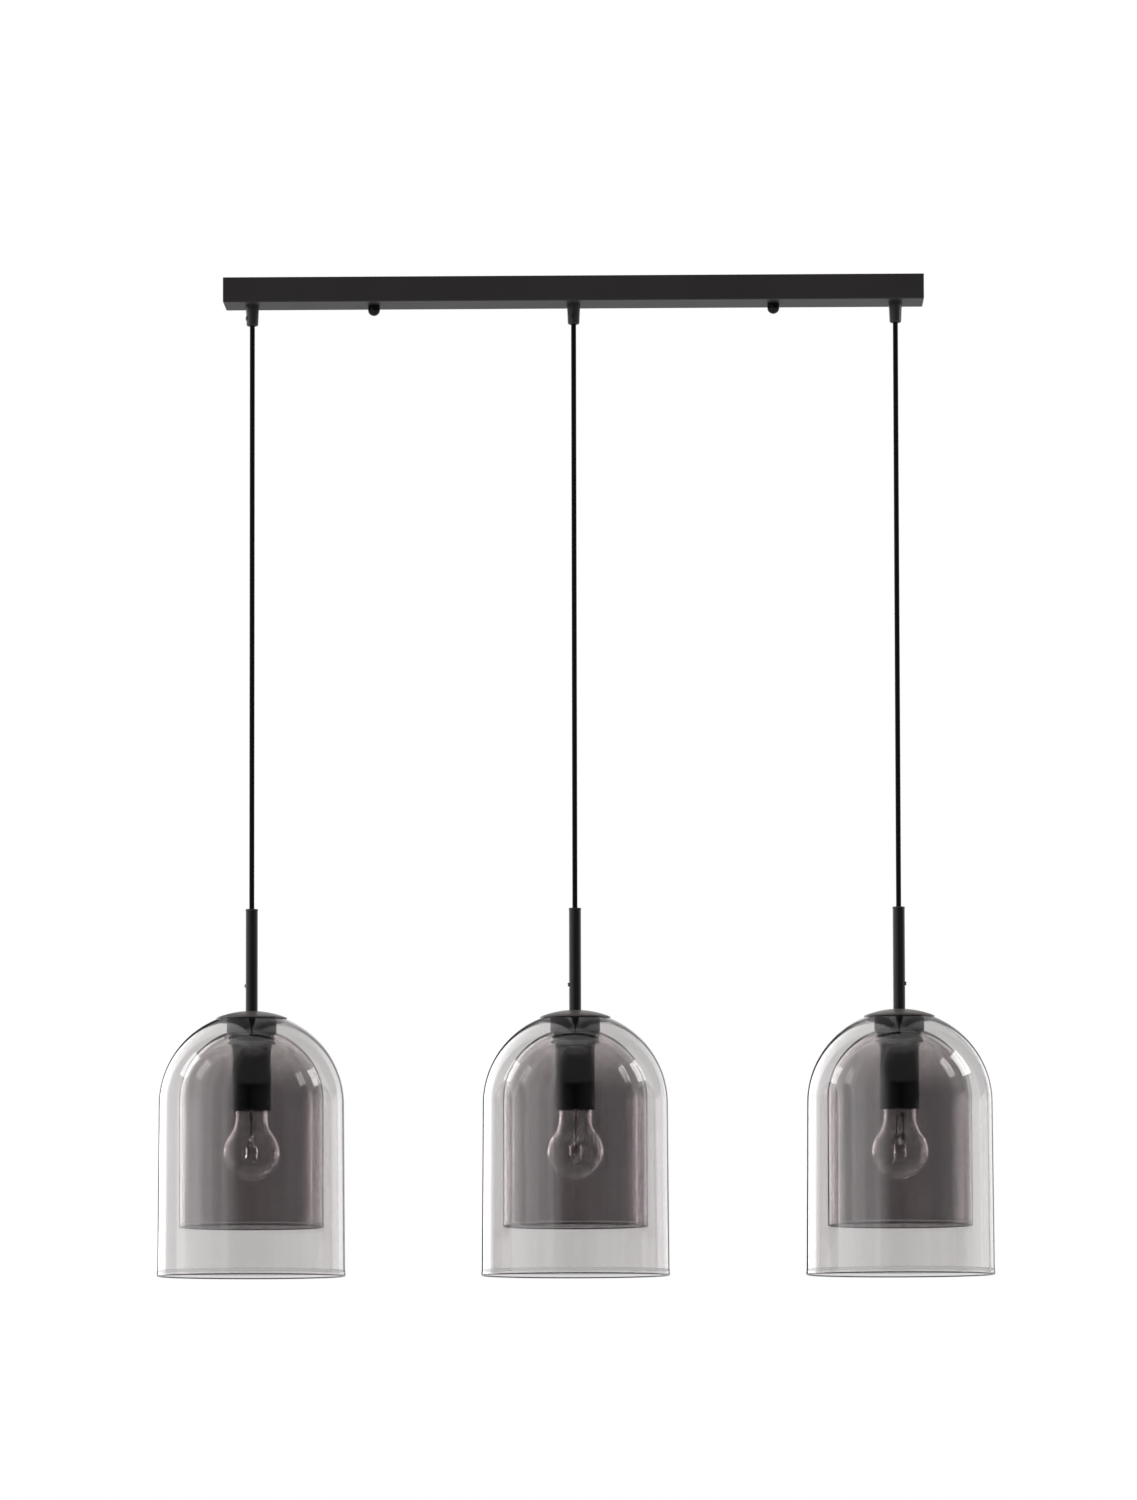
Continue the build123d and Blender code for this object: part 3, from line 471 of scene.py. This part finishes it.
# the bulb's outline from its foot up to where it enters the cap, moved inwards by a wall
def bulbSide(sizes, foot, skirtFoot, inset):
    radius, neck = sizes["radius"], sizes["neckRadius"]
    centre = foot + radius
    neckTop = skirtFoot - sizes["collarLength"]
    neckFoot = skirtFoot - sizes["neckLength"]
    rise = neckFoot - centre
    flank = (rise ** 2 + neck ** 2 - radius ** 2) / (2 * (radius - neck))
    meeting = math.degrees(math.acos((neck + flank) / (radius + flank)))
    step = neck - sizes["rootRadius"]
    shoulder = (step ** 2 + sizes["collarLength"] ** 2) / (2 * step)
    lean = math.degrees(math.acos((shoulder - step) / shoulder))
    points = arcPoints(0, centre, radius - inset, -90, meeting, 36)
    points += arcPoints(neck + flank, neckFoot, flank + inset, 180 + meeting, 180, 14)[1:]
    points += arcPoints(neck - shoulder, neckTop, shoulder - inset, 0, lean, 6)
    return points


def makeBulbGlass(sizes):
    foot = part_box("bulb_glass_2")[0].z / mm
    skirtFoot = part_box("bulb_cap_2")[0].z / mm
    rootTop = skirtFoot + sizes["rootLength"]
    root = sizes["rootRadius"]
    outside = bulbSide(sizes, foot, skirtFoot, 0)
    inside = bulbSide(sizes, foot, skirtFoot, sizes["wall"])
    points = outside + [(root, rootTop), (root - sizes["wall"], rootTop)] + inside[::-1]
    model = turnProfile("bulbGlassModel", points, sizes["steps"])
    model.data.materials.append(bulbGlass)
    for number in pendants:
        glass = copyToPendant(model, number, sizes["turns"][number])
        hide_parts(f"bulb_glass_{number}")
        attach(glass, f"bulb_{number}")
    dropModel(model)


makeBulbGlass(bulbSizes)
print("bulb glasses made")


# bulb cap: rolled aluminium with a round thread, black glass at its end and a soldered contact
capSizes = {
    "radius": 13.1,
    "wall": 0.4,
    "skirt": 20.5,
    "plainFoot": 6.6,  # below the first thread, where the cap holds the glass
    "pitch": 3.62,
    "threadDepth": 0.85,
    "coneHeight": 4.0,
    "coneRadius": 8.0,
    "contactRadius": 4.75,
    "contactHeight": 1.6,
    "steps": 96,
}


def makeBulbCap(sizes):
    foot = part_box("bulb_cap_2")[0].z / mm
    radius, wall = sizes["radius"], sizes["wall"]
    shoulder = foot + sizes["skirt"]
    coneTop = shoulder + sizes["coneHeight"]
    rows = [foot + sizes["skirt"] * i / 60 for i in range(61)]
    neck = radius - sizes["threadDepth"]
    outside = [(radius, z) for z in rows[:-1]] + [(neck + 0.3, shoulder), (neck - 0.2, shoulder + 0.35),
                                                  (neck - 1.2, shoulder + 0.45)]
    inside = [(neck - 1.2, shoulder)] + [(radius - wall, z) for z in rows[:-1]][::-1]
    shell = turnProfile("capShellModel", outside + inside, sizes["steps"], closed=True)
    threadFoot, threadTop = foot + sizes["plainFoot"], shoulder - 1.0
    for vertex in shell.data.vertices:  # the thread is rolled in: each point moves in by its place in the turn
        x, y, z = (vertex.co.x - modelX) / mm, vertex.co.y / mm, vertex.co.z / mm
        if z >= shoulder - 0.01:
            continue
        wave = 0.5 - 0.5 * math.cos(2 * math.pi * (z / sizes["pitch"] - math.atan2(y, x) / (2 * math.pi)))
        fadeIn = min(1, max(0, (z - threadFoot) / 1.2))
        fadeOut = min(1, max(0, (z - threadTop) / 1.0))
        inwards = sizes["threadDepth"] * (wave * fadeIn * (1 - fadeOut) + fadeOut)
        scale = 1 - inwards / math.hypot(x, y)
        vertex.co.x = modelX + x * scale * mm
        vertex.co.y = y * scale * mm
    shell.data.update()
    shell.data.materials.append(aluminium)

    collar = neck - 0.9
    cone = turnProfile("capGlassModel", [(0, shoulder - 0.6), (collar, shoulder - 0.6), (collar, shoulder + 0.5),
                                         (collar - 0.4, shoulder + 0.9),
                                         (sizes["coneRadius"], coneTop - 0.5), (sizes["coneRadius"] - 0.5, coneTop),
                                         (0, coneTop)], sizes["steps"])
    cone.data.materials.append(endGlass)

    tip = coneTop + sizes["contactHeight"]
    edge = sizes["contactRadius"]
    contact = turnProfile("capContactModel", [(0, coneTop - 0.3), (edge, coneTop - 0.3), (edge, coneTop + 0.5),
                                              (edge - 0.5, coneTop + 0.7), (2.6, coneTop + 0.75), (2.3, tip - 0.35),
                                              (1.4, tip - 0.08), (0, tip)], 48)
    contact.data.materials.append(solder)
    for number in pendants:
        for model in (shell, cone, contact):
            piece = copyToPendant(model, number, bulbSizes["turns"][number])
            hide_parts(f"bulb_cap_{number}")
            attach(piece, f"bulb_{number}")
    dropModel(shell, cone, contact)


makeBulbCap(capSizes)
print("bulb caps made")


# inside each bulb: a glass mount, two lead wires, and a quartz capsule with its foils and filament
capsuleSizes = {
    "flangeRadius": 11.6,
    "flangeHeight": 1.5,
    "flareHeight": 8.0,
    "mountRadius": 3.5,
    "mountBore": 2.3,
    "mountLength": 14.5,
    "press": (11.0, 3.0, 5.0),  # the flattened foot of the mount: wide, thick, high
    "pressRoot": 1.75,
    "wireDiameter": 0.8,
    "wireSpacing": 7.0,
    "wireLength": 15.0,
    "pinch": (13.0, 2.6, 12.5),
    "foil": (2.6, 0.12, 8.5),
    "radius": 6.0,
    "shoulder": 1.5,
    "straight": 10.5,
    "wall": 0.9,
    "tipDiameter": 2.6,
    "tipStandout": 2.2,
    "filamentRadius": 0.75,
    "filamentWire": 0.26,
    "filamentPitch": 0.62,
    "filamentTurns": 12,
}


def addBlock(name, centre, size, rounding):
    clearSelection()
    bpy.ops.mesh.primitive_cube_add(size=1, location=[modelX + centre[0] * mm, centre[1] * mm, centre[2] * mm],
                                    scale=[length * mm for length in size])
    block = bpy.context.object
    block.name = block.data.name = name
    bpy.ops.object.transform_apply(location=True, scale=True)
    bpy.ops.object.mode_set(mode="EDIT")
    bpy.ops.mesh.select_all(action="SELECT")
    bpy.ops.mesh.bevel(offset=rounding * mm, segments=3, affect="EDGES")
    bpy.ops.object.mode_set(mode="OBJECT")
    bpy.ops.object.shade_smooth_by_angle(angle=math.radians(50))
    return block


def drawWire(name, route, diameter):
    clearSelection()
    start = route[0]
    bpy.ops.mesh.primitive_circle_add(vertices=14, radius=diameter * mm / 2, fill_type="NGON",
                                      location=(modelX + start[0] * mm, start[1] * mm, start[2] * mm))
    wire = bpy.context.object
    wire.name = wire.data.name = name
    bpy.ops.object.transform_apply(location=True)
    bpy.ops.object.mode_set(mode="EDIT")
    bpy.ops.mesh.select_all(action="SELECT")
    for before, after in zip(route, route[1:]):
        step = [(b - a) * mm for a, b in zip(before, after)]
        bpy.ops.mesh.extrude_region_move(TRANSFORM_OT_translate={"value": step})
    bpy.ops.mesh.select_all(action="SELECT")
    bpy.ops.mesh.normals_make_consistent(inside=False)
    bpy.ops.object.mode_set(mode="OBJECT")
    bpy.ops.object.shade_smooth_by_angle(angle=math.radians(50))
    return wire


def joinPieces(name, first, *others):
    clearSelection()
    for piece in (first, *others):
        piece.select_set(True)
    bpy.context.view_layer.objects.active = first
    bpy.ops.object.join()
    first.name = first.data.name = name
    return first


def weldInto(piece, other):
    clearSelection()
    bpy.context.view_layer.objects.active = piece
    union = piece.modifiers.new("weld", "BOOLEAN")
    union.operation = "UNION"
    union.solver = "EXACT"
    union.object = other
    bpy.ops.object.modifier_apply(modifier=union.name)
    bpy.data.objects.remove(other)
    bpy.ops.object.shade_smooth_by_angle(angle=math.radians(40))
    return piece


def makeMount(sizes, top):
    flange, radius, bore = sizes["flangeRadius"], sizes["mountRadius"], sizes["mountBore"]
    flareTop = top - sizes["flangeHeight"]
    pressTop = top - sizes["mountLength"]
    flare = [(radius + (flange - radius) * (1 - math.sin(math.pi * i / 20)), flareTop - sizes["flareHeight"] * i / 10)
             for i in range(11)]
    outside = [(flange, top)] + flare + [(radius, pressTop)]
    hollow = [(r - (radius - bore), z + 0.4) for r, z in flare[::-1]]
    points = outside + [(0, pressTop), (0, pressTop + 1.4), (bore, pressTop + 2.2)] + hollow
    points += [(flange - (radius - bore), top)]
    mount = turnProfile("mountModel", points, 48, closed=True)
    wide, thick, high = sizes["press"]
    press = addBlock("press", (0, 0, pressTop - high / 2 + sizes["pressRoot"] / 2),
                     (wide, thick, high + sizes["pressRoot"]), 0.9)
    return weldInto(mount, press)


def makeCapsule(sizes, pinchTop):
    wide, thick, high = sizes["pinch"]
    pinchFoot = pinchTop - high
    foot = pinchFoot - sizes["straight"]
    radius, wall, shoulder = sizes["radius"], sizes["wall"], sizes["shoulder"]
    tip = sizes["tipDiameter"] / 2
    lowest = foot - radius - sizes["tipStandout"]
    meeting = -math.degrees(math.acos(tip / radius))
    outside = arcPoints(0, lowest + tip, tip, -90, 0, 6) + arcPoints(0, foot, radius, meeting, 0, 16)
    outside += arcPoints(radius - shoulder, pinchFoot, shoulder, 0, 90, 6)
    outside += [(0, pinchFoot + shoulder)]
    hollow = arcPoints(0, foot, radius - wall, -90, 0, 16)
    hollow += arcPoints(radius - shoulder, pinchFoot - wall, shoulder - wall, 0, 90, 4) + [(0, pinchFoot - wall + 0.6)]
    capsule = turnProfile("capsuleModel", outside, 48)
    pinch = addBlock("pinch", (0, 0, pinchFoot + high / 2 + 0.2), (wide, thick, high - 0.4), 0.5)
    capsule = weldInto(capsule, pinch)
    inner = turnProfile("capsuleHollow", hollow, 48)
    bpy.ops.object.mode_set(mode="EDIT")
    bpy.ops.mesh.select_all(action="SELECT")
    bpy.ops.mesh.flip_normals()
    bpy.ops.object.mode_set(mode="OBJECT")
    return joinPieces("capsuleModel", capsule, inner)


def makeFilament(sizes, pinchFoot):
    radius, wire = sizes["filamentRadius"], sizes["filamentWire"]
    length = sizes["filamentPitch"] * sizes["filamentTurns"]
    top = pinchFoot - 2.0
    clearSelection()
    bpy.ops.mesh.primitive_circle_add(vertices=8, radius=wire * mm / 2, location=(radius * mm, 0, 0),
                                      rotation=(math.pi / 2, 0, 0))
    coil = bpy.context.object
    bpy.ops.object.transform_apply(location=True, rotation=True)
    screw = coil.modifiers.new("turns", "SCREW")
    screw.axis = "Z"
    screw.screw_offset = sizes["filamentPitch"] * mm
    screw.iterations = sizes["filamentTurns"]
    screw.steps = screw.render_steps = 16
    bpy.ops.object.modifier_apply(modifier=screw.name)
    bpy.ops.object.mode_set(mode="EDIT")
    bpy.ops.mesh.select_all(action="SELECT")
    bpy.ops.transform.translate(value=(modelX, 0, (top - length) * mm))
    bpy.ops.mesh.select_non_manifold()
    bpy.ops.mesh.edge_face_add()
    bpy.ops.mesh.select_all(action="SELECT")
    bpy.ops.mesh.normals_make_consistent(inside=False)
    bpy.ops.object.mode_set(mode="OBJECT")
    bpy.ops.object.shade_smooth_by_angle(angle=math.radians(50))
    low = top - length
    upper = drawWire("upperSupport", [(radius, 0, top), (radius + 0.3, 0, top + 0.8), (2.4, 0, pinchFoot - 0.2),
                                      (2.5, 0, pinchFoot + 2.0)], 0.4)
    lower = drawWire("lowerSupport", [(radius, 0, low), (0.2, 0, low - 0.9), (-2.2, 0, low - 1.3),
                                      (-3.4, 0, low - 0.6), (-3.7, 0, low + 1.0), (-3.5, 0, pinchFoot - 1.0),
                                      (-2.5, 0, pinchFoot + 2.0)], 0.4)
    return joinPieces("filamentModel", coil, upper, lower)


def makeBulbInside(sizes):
    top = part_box("bulb_glass_2")[1].z / mm
    pressFoot = top - sizes["mountLength"] - sizes["press"][2]
    pinchTop = pressFoot - sizes["wireLength"]
    pinchFoot = pinchTop - sizes["pinch"][2]
    side = sizes["wireSpacing"] / 2
    mount = makeMount(sizes, top)
    mount.data.materials.append(bulbGlass)
    capsule = makeCapsule(sizes, pinchTop)
    capsule.data.materials.append(quartz)
    filament = makeFilament(sizes, pinchFoot)
    filament.data.materials.append(tungsten)
    length = sizes["wireLength"]
    wires = []
    for way in (-1, 1):
        wires.append(drawWire("wire", [(way * (side - 0.7), 0, pressFoot + 2.5), (way * (side - 0.7), 0, pressFoot),
                                       (way * (side - 0.5), 0.25, pressFoot - length * 0.2),
                                       (way * (side - 0.1), 0.3 * way, pressFoot - length * 0.45),
                                       (way * side, -0.2 * way, pressFoot - length * 0.7),
                                       (way * (side - 0.2), -0.1, pressFoot - length * 0.9),
                                       (way * (side - 0.4), 0, pinchTop), (way * (side - 0.4), 0, pinchTop - 1.8)],
                              sizes["wireDiameter"]))
    hook = drawWire("hook", [(0, 0, pressFoot + 1.5), (0, 0, pressFoot - 1.2), (0.7, 0, pressFoot - 2.4)], 0.6)
    wires = joinPieces("leadWiresModel", *wires, hook)
    wires.data.materials.append(darkWire)
    wide, thick, high = sizes["foil"]
    foils = joinPieces("foilsModel", *[addBlock("foil", (way * (side - 0.4), 0, pinchTop - 1.6 - high / 2),
                                                (wide, thick, high), 0.04) for way in (-1, 1)])
    foils.data.materials.append(brightFoil)
    for number in pendants:
        for model, slot in ((mount, "clear_glass"), (capsule, "capsule_glass"), (filament, "zinc_steel"),
                            (wires, "zinc_steel"), (foils, "zinc_steel")):
            piece = copyToPendant(model, number, bulbSizes["turns"][number])
            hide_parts(f"bulb_capsule_{number}")
            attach(piece, f"bulb_{number}")
    dropModel(mount, capsule, filament, wires, foils)


makeBulbInside(capsuleSizes)
print("bulb mounts and capsules made")


# studio: pale floor, soft lamps, white surroundings
studio = {
    "floorLevel": -2.45,
    "floorSize": 160.0,
    "ambient": 0.7,
    # degrees round from the front, left below zero, and how bright a mirror finds each; a ramp holds 32 at most
    "horizon": [(-180, 1.0), (-174, 1.0), (-172, 0.03), (-161, 0.03), (-158, 2.6), (-130, 2.8), (-127, 1.3),
                (-103, 1.3), (-100, 2.2), (-88, 2.4), (-85, 1.9), (-61, 1.6), (-59, 1.3), (-47, 1.2), (-45, 1.0),
                (-35, 0.9), (-33, 1.1), (-27, 1.0), (-25, 0.5), (-14, 0.07), (0, 0.02), (60, 0.17), (88, 0.3),
                (92, 0.9), (103, 1.3), (119, 1.3), (121, 0.8), (140, 0.7), (144, 1.3), (160, 1.3), (162, 0.03),
                (180, 1.0)],
    "brightest": 3.0,  # the horizon's colour ramp holds shares of this
    # what each soft step goes by, where it starts and ends, and its value before and after
    "softSteps": {
        "horizonFade": ("Z", 0.1, 0.85, 1.0, 0.35),
        "overhead": ("Z", 0.92, 0.985, 0.0, 0.6),  # straight up
        "upper": ("Z", 0.33, 0.45, 0.0, 0.12),  # all round, above about 20 degrees
        "insideBoth": ("depth", 7.2, 7.8, 0.0, 1.0),  # in and out through both bells is eight faces of glass
        "insideGain": ("Y", 0.1, 0.5, 0.0, 9.0),
        "aboveWhite": ("Z", 0.34, 0.4, 0.0, 1.0),
        "behind": ("Y", 0.0, 0.1, 0.0, 1.0),
    },
    "flags": (11.5, 23.0),  # degrees from their aim, where the ring of black flags starts and ends
    "flagsAim": (-0.018, 0.999, 0.041),
    "flagGrey": 0.02,
    "floorColour": "#f2f2f1",
    "bounces": 28,  # a ray through a capsule crosses eight walls of glass, with two faces each
    "glossyBounces": 8,
    "lampRadiance": {"Left": 3.0, "Right": 5.0},
    "lampPlace": (1.75, 0.25, 0.1),
    "lampAim": (0, 0, -0.8),
    "lampSize": (0.5, 0.6),
}


def makeFloor(values):
    clearSelection()
    bpy.ops.mesh.primitive_plane_add(size=values["floorSize"], location=(0, 0, values["floorLevel"]))
    floor = bpy.context.object
    floor.name = floor.data.name = "floor"
    bpy.ops.object.transform_apply(location=True)
    material, tree, shader = startMaterial("paleStudioFloor")
    fillSockets(tree, shader, {"Base Color": linearColour(values["floorColour"]), "Roughness": 0.9})
    # seen from below, the floor is clear, so that it doesn't hide the light
    geometry = addNode(tree, "ShaderNodeNewGeometry")
    clear = addNode(tree, "ShaderNodeBsdfTransparent")
    oneSided = addNode(tree, "ShaderNodeMixShader", {0: geometry.outputs["Backfacing"], 1: shader.outputs["BSDF"],
                                                     2: clear.outputs["BSDF"]})
    tree.links.new(oneSided.outputs["Shader"], tree.nodes["Material Output"].inputs["Surface"])
    floor.data.materials.append(material)


# a softbox whose face glows at a given radiance, where 1 is white
def makeLamp(name, place, aim, size, radiance):
    data = bpy.data.lights.new(name, "AREA")
    data.shape = "RECTANGLE"
    data.size, data.size_y = size
    data.energy = radiance * math.pi * size[0] * size[1]
    lamp = bpy.data.objects.new(name, data)
    bpy.context.scene.collection.objects.link(lamp)
    direction = Vector(aim) - Vector(place)
    lamp.matrix_world = Matrix.Translation(place) @ direction.to_track_quat("-Z", "Y").to_matrix().to_4x4()
    lamp.visible_camera = False


def makeWorld(values):
    world = bpy.data.worlds.new("studio")
    bpy.context.scene.world = world
    world.use_nodes = True
    tree = world.node_tree
    background = tree.nodes["Background"]
    path = addNode(tree, "ShaderNodeLightPath").outputs
    way = addNode(tree, "ShaderNodeTexCoord").outputs["Generated"]
    axes = addNode(tree, "ShaderNodeSeparateXYZ", {"Vector": way}).outputs
    aim = Vector(values["flagsAim"]).normalized()
    along = addNode(tree, "ShaderNodeVectorMath", {0: way, 1: aim}, operation="DOT_PRODUCT")
    along = addNode(tree, "ShaderNodeMath", {0: along.outputs["Value"]}, operation="ABSOLUTE")
    measures = {"Y": axes["Y"], "Z": axes["Z"], "depth": path["Transmission Depth"], "along": along.outputs["Value"]}
    inner, outer = (math.cos(math.radians(angle)) for angle in values["flags"])
    steps = {**values["softSteps"], "withinFlags": ("along", outer - 0.006, outer + 0.006, 0.0, 1.0),
             "outsideWhite": ("along", inner - 0.0015, inner + 0.0015, 1.0, 0.0)}
    soft = {}
    for name, (measure, start, end, before, after) in steps.items():
        step = addNode(tree, "ShaderNodeMapRange", {"Value": measures[measure], "From Min": start, "From Max": end,
                                                    "To Min": before, "To Max": after},
                       interpolation_type="SMOOTHSTEP")
        soft[name] = step.outputs["Result"]

    # reflections: levels round the horizon, from straight behind by the left, the front and the right
    front = addNode(tree, "ShaderNodeMath", {0: axes["Y"], 1: -1.0}, operation="MULTIPLY")
    turned = addNode(tree, "ShaderNodeMath", {0: axes["X"], 1: front.outputs["Value"]}, operation="ARCTAN2")
    share = addNode(tree, "ShaderNodeMath", {0: turned.outputs["Value"], 1: 0.5 / math.pi, 2: 0.5},
                    operation="MULTIPLY_ADD")
    level = addNode(tree, "ShaderNodeValToRGB", {"Fac": share.outputs["Value"]})
    stops = level.color_ramp.elements
    for degrees, value in values["horizon"][1:-1]:
        stops.new(degrees / 360 + 0.5)
    brightest = values["brightest"]
    for stop, (degrees, value) in zip(stops, values["horizon"]):
        stop.position = degrees / 360 + 0.5
        stop.color = (value / brightest, value / brightest, value / brightest, 1)
    low = addNode(tree, "ShaderNodeMath", {0: level.outputs["Color"], 1: brightest}, operation="MULTIPLY")
    low = addNode(tree, "ShaderNodeMath", {0: low.outputs["Value"], 1: soft["horizonFade"]}, operation="MULTIPLY")
    mirrored = addNode(tree, "ShaderNodeMath", {0: low.outputs["Value"], 1: soft["overhead"]}, operation="MAXIMUM")
    mirrored = addNode(tree, "ShaderNodeMath", {0: mirrored.outputs["Value"], 1: soft["upper"]}, operation="MAXIMUM")
    # what mirrors inside both bells is lit up, because the smoke takes so much of it on its way in and out
    gain = addNode(tree, "ShaderNodeMath", {0: soft["insideBoth"], 1: soft["insideGain"], 2: 1.0},
                   operation="MULTIPLY_ADD")
    mirrored = addNode(tree, "ShaderNodeMath", {0: mirrored.outputs["Value"], 1: gain.outputs["Value"]},
                       operation="MULTIPLY")

    # a ring of black flags stands round the white behind: seen through glass, it draws the thin dark outlines
    flag = addNode(tree, "ShaderNodeMath", {0: soft["withinFlags"], 1: soft["outsideWhite"]}, operation="MULTIPLY")
    past = addNode(tree, "ShaderNodeMath", {0: flag.outputs["Value"], 1: values["flagGrey"] - 1, 2: 1.0},
                   operation="MULTIPLY_ADD")
    # and it is dark above the white
    dark = addNode(tree, "ShaderNodeMath", {0: soft["aboveWhite"], 1: soft["behind"]}, operation="MULTIPLY")
    clearWay = addNode(tree, "ShaderNodeMath", {0: 1.0, 1: dark.outputs["Value"]}, operation="SUBTRACT")
    through = addNode(tree, "ShaderNodeMath", {0: past.outputs["Value"], 1: clearWay.outputs["Value"]},
                      operation="MULTIPLY")

    # white to the camera, and each other kind of ray finds its own surroundings
    passed, bounced, scattered = (
        addNode(tree, "ShaderNodeMath", {0: path[f"{kind} Depth"], 1: 0.5}, operation="GREATER_THAN").outputs["Value"]
        for kind in ("Transmission", "Glossy", "Diffuse"))
    seen = addNode(tree, "ShaderNodeMix", {"Factor": passed, "A": 1.0, "B": through.outputs["Value"]},
                   data_type="FLOAT")
    seen = addNode(tree, "ShaderNodeMix", {"Factor": bounced, "A": seen.outputs["Result"],
                                           "B": mirrored.outputs["Value"]}, data_type="FLOAT")
    seen = addNode(tree, "ShaderNodeMix", {"Factor": scattered, "A": seen.outputs["Result"],
                                           "B": values["ambient"]}, data_type="FLOAT")
    tree.links.new(seen.outputs["Result"], background.inputs["Strength"])
    background.inputs["Color"].default_value = (1, 1, 1, 1)


makeFloor(studio)
for side, way in (("Left", -1), ("Right", 1)):
    x, y, z = studio["lampPlace"]
    makeLamp(f"softbox{side}", (way * x, y, z), studio["lampAim"], studio["lampSize"], studio["lampRadiance"][side])
makeWorld(studio)

scene = bpy.context.scene
scene.view_settings.view_transform = "Standard"
scene.cycles.max_bounces = scene.cycles.transmission_bounces = studio["bounces"]
scene.cycles.glossy_bounces = studio["glossyBounces"]
print("studio made")
